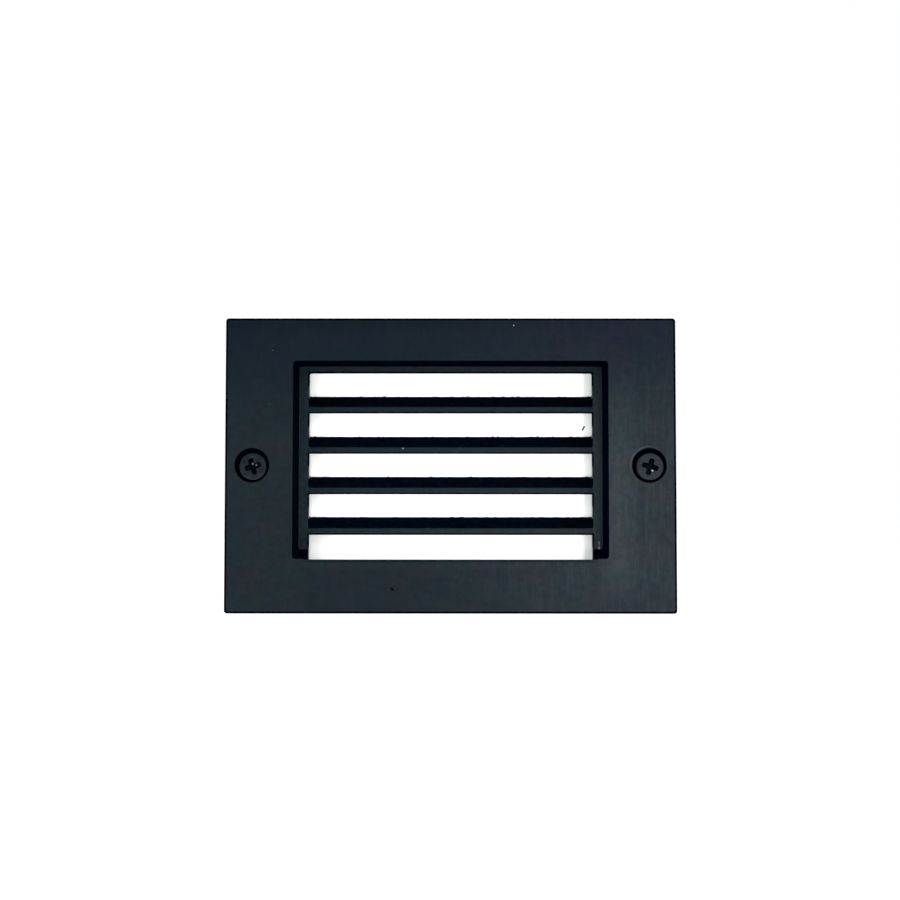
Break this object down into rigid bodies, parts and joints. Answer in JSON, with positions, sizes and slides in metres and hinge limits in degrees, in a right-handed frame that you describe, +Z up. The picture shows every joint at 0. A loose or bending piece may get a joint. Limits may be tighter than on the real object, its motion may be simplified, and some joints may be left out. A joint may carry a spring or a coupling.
{
  "type": "recessed louvred step light",
  "caption": "Rectangular black cast faceplate with sloping louvre blades over an opal lens, screwed to a wall box with lamp, terminal block and cable gland.",
  "frame": {"origin": "on the housing's centre line, in the plane of the flange's back face, which rests against the wall", "axes": "+X to the right seen from the front, +Y into the wall, +Z up; the louvre faces -Y"},
  "size_m": [0.117, 0.0787, 0.077],
  "materials": {
    "coated_casting": "semi-gloss powder coat, fine upright brush marks",
    "housing_casting": "matt powder coat",
    "opal_glass": "opal, frosted inside",
    "black_rubber": "matt",
    "stainless": "satin",
    "black_screw": "semi-gloss black coating",
    "brass": "turned",
    "white_coated_sheet": "gloss white",
    "plated_steel": "bright zinc plate",
    "rivet_aluminium": "satin",
    "ceramic": "unglazed",
    "plated_contact": "nickel plate",
    "lamp_plastic": "satin",
    "lamp_glass": "frosted inside",
    "circuit_board": "white solder mask",
    "led_chip": "gloss",
    "terminal_plastic": "natural nylon",
    "lead_insulation": "braided silicone sleeve",
    "black_nylon": "fine spark-eroded texture"
  },
  "bodies": {
    "housing": {"screw_inserts": "brass", "housing": "housing_casting", "reflector": "white_coated_sheet", "reflector_screws": "stainless", "holder_bracket": "plated_steel", "bracket_rivets": "rivet_aluminium", "lamp_holder": "ceramic", "holder_contacts": "plated_contact", "holder_screws": "plated_steel", "holder_nuts": "plated_steel", "terminal_block": "terminal_plastic", "terminal_barrels": "brass", "terminal_screws": "plated_steel", "terminal_fixing_screw": "stainless", "lamp_leads": "lead_insulation", "lead_grommet": "black_rubber", "gland_washer": "black_rubber", "gland_body": "black_nylon", "gland_nut": "black_nylon", "gland_seal": "black_rubber", "gland_cap": "black_nylon", "plug_ring": "black_rubber", "blanking_plug": "black_nylon"},
    "faceplate": {"faceplate": "coated_casting", "faceplate_gasket": "black_rubber", "lens": "opal_glass", "lens_gasket": "black_rubber", "lens_retainer": "stainless", "lens_retainer_screws": "stainless"},
    "left_washer": {"left_screw_washer": "black_rubber"},
    "left_screw": {"left_screw": "black_screw"},
    "right_washer": {"right_screw_washer": "black_rubber"},
    "right_screw": {"right_screw": "black_screw"},
    "lamp": {"lamp_base": "lamp_plastic", "lamp_pins": "plated_contact", "lamp_cover": "lamp_glass", "lamp_board": "circuit_board", "lamp_chips": "led_chip"}
  },
  "joints": [
    {"name": "faceplate_lift", "type": "slide", "parent": "housing", "child": "faceplate", "axis": [0, -1, 0], "range_m": [0, 0.06]},
    {"name": "left_screw_travel", "type": "slide", "parent": "faceplate", "child": "left_washer", "axis": [0, -1, 0], "range_m": [0, 0.00556]},
    {"name": "left_screw_turn", "type": "hinge", "parent": "left_washer", "child": "left_screw", "pos_m": [-0.0515, -0.0063, 0], "axis": [0, -1, 0], "range_deg": [0, 2520]},
    {"name": "right_screw_travel", "type": "slide", "parent": "faceplate", "child": "right_washer", "axis": [0, -1, 0], "range_m": [0, 0.00556]},
    {"name": "right_screw_turn", "type": "hinge", "parent": "right_washer", "child": "right_screw", "pos_m": [0.0515, -0.0063, 0], "axis": [0, -1, 0], "range_deg": [0, 2520]},
    {"name": "lamp_pull", "type": "slide", "parent": "housing", "child": "lamp", "axis": [1, 0, 0], "range_m": [0, 0.009]}
  ],
  "couplings": [
    {"joint": "left_screw_turn", "follows": "left_screw_travel", "rad_per_m": 7915.8},
    {"joint": "right_screw_turn", "follows": "right_screw_travel", "rad_per_m": 7915.8}
  ]
}
